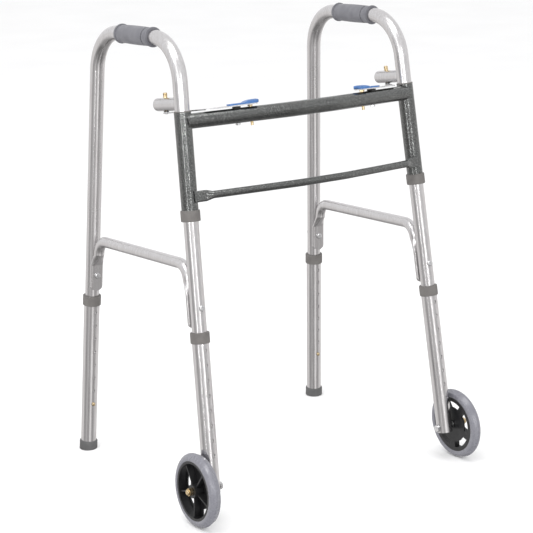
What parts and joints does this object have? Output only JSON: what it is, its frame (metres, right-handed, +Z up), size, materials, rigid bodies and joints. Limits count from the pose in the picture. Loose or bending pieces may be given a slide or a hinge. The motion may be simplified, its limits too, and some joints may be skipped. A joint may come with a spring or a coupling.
{
  "type": "walking frame",
  "caption": "Folding aluminium walking frame with front wheels, rear rubber tips, height-adjustable legs, grey hand grips and finger-release levers on the front cross bar.",
  "frame": {"origin": "on the floor under the middle of the frame, centred side to side and front to back", "axes": "+Z up, the cross bars and wheels are at the front towards -Y, the user stands at +Y and the user's left side is at +X"},
  "size_m": [0.5972, 0.506, 0.8114],
  "materials": {
    "anodised_aluminium": "satin anodised",
    "hammertone_paint": "dark grey hammertone enamel",
    "collar_plastic": "matt moulded",
    "black_plastic": "matt moulded",
    "black_rubber": "matt",
    "tip_rubber": "matt",
    "wheel_tread": "smooth moulded",
    "grip_vinyl": "soft matt vinyl",
    "paddle_plastic": "smooth moulded",
    "brass_plate": "yellow passivated",
    "zinc_plate": "bright zinc plated",
    "spring_steel": "spring wire",
    "dark_screw": "black oxide"
  },
  "bodies": {
    "front_frame": {"upper_crossbar": "hammertone_paint", "lower_crossbar": "hammertone_paint", "left_hinge_sleeve": "hammertone_paint", "right_hinge_sleeve": "hammertone_paint", "sleeve_top_rings": "collar_plastic", "sleeve_collars": "collar_plastic", "lever_fulcrums": "black_rubber", "fulcrum_fasteners": "zinc_plate"},
    "left_side_frame": {"left_side_tube": "anodised_aluminium", "left_hand_grip": "grip_vinyl", "left_side_brace": "anodised_aluminium", "left_brace_fasteners": "zinc_plate", "left_sleeve_support_screw": "dark_screw", "left_latch_stub": "anodised_aluminium", "left_latch_pin": "brass_plate", "left_latch_spacer": "black_plastic", "left_latch_tip": "zinc_plate", "left_front_snap_spring": "spring_steel", "left_rear_snap_spring": "spring_steel"},
    "left_front_leg": {"left_front_leg_tube": "anodised_aluminium", "left_front_leg_collar": "collar_plastic", "left_axle_bolt": "zinc_plate", "left_axle_nut": "brass_plate"},
    "left_rear_leg": {"left_rear_leg_tube": "anodised_aluminium", "left_rear_leg_collar": "collar_plastic", "left_rear_tip": "tip_rubber"},
    "left_wheel": {"left_wheel_tyre": "wheel_tread", "left_wheel_hub": "black_plastic"},
    "left_trigger": {"left_release_lever": "zinc_plate", "left_release_paddle": "paddle_plastic", "left_lever_guide_pin": "brass_plate", "left_lever_spring": "spring_steel"},
    "left_front_button": {"left_front_snap_button": "brass_plate"},
    "left_rear_button": {"left_rear_snap_button": "brass_plate"},
    "right_side_frame": {"right_side_tube": "anodised_aluminium", "right_hand_grip": "grip_vinyl", "right_side_brace": "anodised_aluminium", "right_brace_fasteners": "zinc_plate", "right_sleeve_support_screw": "dark_screw", "right_latch_stub": "anodised_aluminium", "right_latch_pin": "brass_plate", "right_latch_spacer": "black_plastic", "right_latch_tip": "zinc_plate", "right_front_snap_spring": "spring_steel", "right_rear_snap_spring": "spring_steel"},
    "right_front_leg": {"right_front_leg_tube": "anodised_aluminium", "right_front_leg_collar": "collar_plastic", "right_axle_bolt": "zinc_plate", "right_axle_nut": "brass_plate"},
    "right_rear_leg": {"right_rear_leg_tube": "anodised_aluminium", "right_rear_leg_collar": "collar_plastic", "right_rear_tip": "tip_rubber"},
    "right_wheel": {"right_wheel_tyre": "wheel_tread", "right_wheel_hub": "black_plastic"},
    "right_trigger": {"right_release_lever": "zinc_plate", "right_release_paddle": "paddle_plastic", "right_lever_guide_pin": "brass_plate", "right_lever_spring": "spring_steel"},
    "right_front_button": {"right_front_snap_button": "brass_plate"},
    "right_rear_button": {"right_rear_snap_button": "brass_plate"}
  },
  "joints": [
    {"name": "left_fold", "type": "hinge", "parent": "front_frame", "child": "left_side_frame", "pos_m": [0.23232, -0.10316, 0.59185], "axis": [-0.0326, 0.161, 0.9864], "range_deg": [0, 88]},
    {"name": "left_front_height", "type": "slide", "parent": "left_side_frame", "child": "left_front_leg", "axis": [0.0326, -0.161, -0.9864], "range_m": [0, 0.1524]},
    {"name": "left_rear_height", "type": "slide", "parent": "left_side_frame", "child": "left_rear_leg", "axis": [0.0361, 0.0578, -0.9977], "range_m": [0, 0.1524]},
    {"name": "left_wheel_spin", "type": "hinge", "parent": "left_front_leg", "child": "left_wheel", "pos_m": [0.27792, -0.1894, 0.06347], "axis": [0.9995, 0.0053, 0.0322], "continuous": true},
    {"name": "left_trigger_press", "type": "hinge", "parent": "front_frame", "child": "left_trigger", "pos_m": [0.139, -0.11093, 0.68564], "axis": [-0.2024, 0.9665, -0.1578], "range_deg": [0, 1.9], "stiffness_Nm_per_rad": 4, "springref_deg": -1.72, "deforming": ["left_lever_spring"]},
    {"name": "left_front_button_press", "type": "slide", "parent": "left_side_frame", "child": "left_front_button", "axis": [0, -0.9869, 0.1611], "range_m": [0, 0.0045], "stiffness_N_per_m": 800, "springref_m": -0.002, "deforming": ["left_front_snap_spring"]},
    {"name": "left_rear_button_press", "type": "slide", "parent": "left_side_frame", "child": "left_rear_button", "axis": [0.012, 0.9982, 0.0583], "range_m": [0, 0.0045], "stiffness_N_per_m": 800, "springref_m": -0.002, "deforming": ["left_rear_snap_spring"]},
    {"name": "right_fold", "type": "hinge", "parent": "front_frame", "child": "right_side_frame", "pos_m": [-0.23232, -0.10316, 0.59185], "axis": [0.0326, 0.161, 0.9864], "range_deg": [-88, 0]},
    {"name": "right_front_height", "type": "slide", "parent": "right_side_frame", "child": "right_front_leg", "axis": [-0.0326, -0.161, -0.9864], "range_m": [0, 0.1524]},
    {"name": "right_rear_height", "type": "slide", "parent": "right_side_frame", "child": "right_rear_leg", "axis": [-0.0361, 0.0578, -0.9977], "range_m": [0, 0.1524]},
    {"name": "right_wheel_spin", "type": "hinge", "parent": "right_front_leg", "child": "right_wheel", "pos_m": [-0.27792, -0.1894, 0.06347], "axis": [-0.9995, 0.0053, 0.0322], "continuous": true},
    {"name": "right_trigger_press", "type": "hinge", "parent": "front_frame", "child": "right_trigger", "pos_m": [-0.139, -0.11093, 0.68564], "axis": [-0.2024, -0.9665, 0.1578], "range_deg": [0, 1.9], "stiffness_Nm_per_rad": 4, "springref_deg": -1.72, "deforming": ["right_lever_spring"]},
    {"name": "right_front_button_press", "type": "slide", "parent": "right_side_frame", "child": "right_front_button", "axis": [0, -0.9869, 0.1611], "range_m": [0, 0.0045], "stiffness_N_per_m": 800, "springref_m": -0.002, "deforming": ["right_front_snap_spring"]},
    {"name": "right_rear_button_press", "type": "slide", "parent": "right_side_frame", "child": "right_rear_button", "axis": [-0.012, 0.9982, 0.0583], "range_m": [0, 0.0045], "stiffness_N_per_m": 800, "springref_m": -0.002, "deforming": ["right_rear_snap_spring"]}
  ]
}
